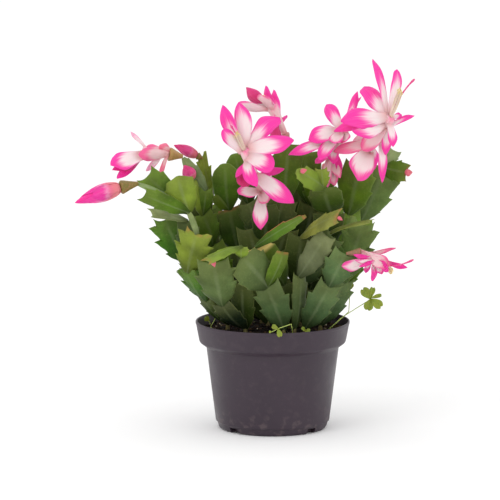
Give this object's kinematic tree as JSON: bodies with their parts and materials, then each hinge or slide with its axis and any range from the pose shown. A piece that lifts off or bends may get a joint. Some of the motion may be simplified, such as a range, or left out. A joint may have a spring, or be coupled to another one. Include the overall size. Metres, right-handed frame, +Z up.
{
  "type": "potted christmas cactus",
  "caption": "Christmas cactus in bloom: arching stems of flat toothed pads with layered pink and white flowers and buds at their tips, in a dark round plastic nursery pot of soil.",
  "frame": {"origin": "middle of the pot's foot, at the height of the surface that it stands on", "axes": "+Z up along the pot's axis, -Y towards the viewer of the front, +X to the right in that view"},
  "size_m": [0.2829, 0.1951, 0.3132],
  "materials": {
    "pot": "satin",
    "soil": "matte",
    "pads": "satin",
    "petals": "satin",
    "seed_bases": "satin",
    "stamens": "matte",
    "weeds": "matte"
  },
  "bodies": {
    "root": {"pot": "pot", "soil": "soil", "stem_front_middle": "pads", "stem_front_left": "pads", "stem_left_low": "pads", "stem_left_far": "pads", "stem_left_up": "pads", "stem_middle_left": "pads", "stem_centre": "pads", "stem_front_centre": "pads", "stem_right_front": "pads", "stem_right_lean": "pads", "stem_right_low": "pads", "stem_right_middle": "pads", "stem_right_inner": "pads", "stem_right_high": "pads", "stem_right_far": "pads", "stem_centre_right": "pads", "stem_back_left": "pads", "stem_back_middle": "pads", "stem_back_right": "pads", "bloom_front_petals": "petals", "bloom_front_seed_base": "seed_bases", "bloom_front_stamens": "stamens", "bloom_behind_petals": "petals", "bloom_behind_seed_base": "seed_bases", "bloom_behind_stamens": "stamens", "bloom_top_petals": "petals", "bloom_top_seed_base": "seed_bases", "bloom_top_stamens": "stamens", "bloom_inner_petals": "petals", "bloom_inner_seed_base": "seed_bases", "bloom_inner_stamens": "stamens", "bloom_left_petals": "petals", "bloom_left_seed_base": "seed_bases", "bloom_left_stamens": "stamens", "bloom_right_petals": "petals", "bloom_right_seed_base": "seed_bases", "bloom_right_stamens": "stamens", "bud_left_long": "petals", "bud_left_long_seed_base": "seed_bases", "bud_left_upper": "petals", "bud_left_upper_seed_base": "seed_bases", "bud_left_round": "petals", "bud_front_left": "petals", "bud_right_front": "petals", "bud_right_inner": "petals", "bud_right_far": "petals", "bud_back_left": "petals", "bud_back_middle": "petals", "weed_sprig_right": "weeds", "weed_sprig_front": "weeds", "weed_seedling_left": "weeds", "weed_seedling_front": "weeds"}
  },
  "joints": []
}
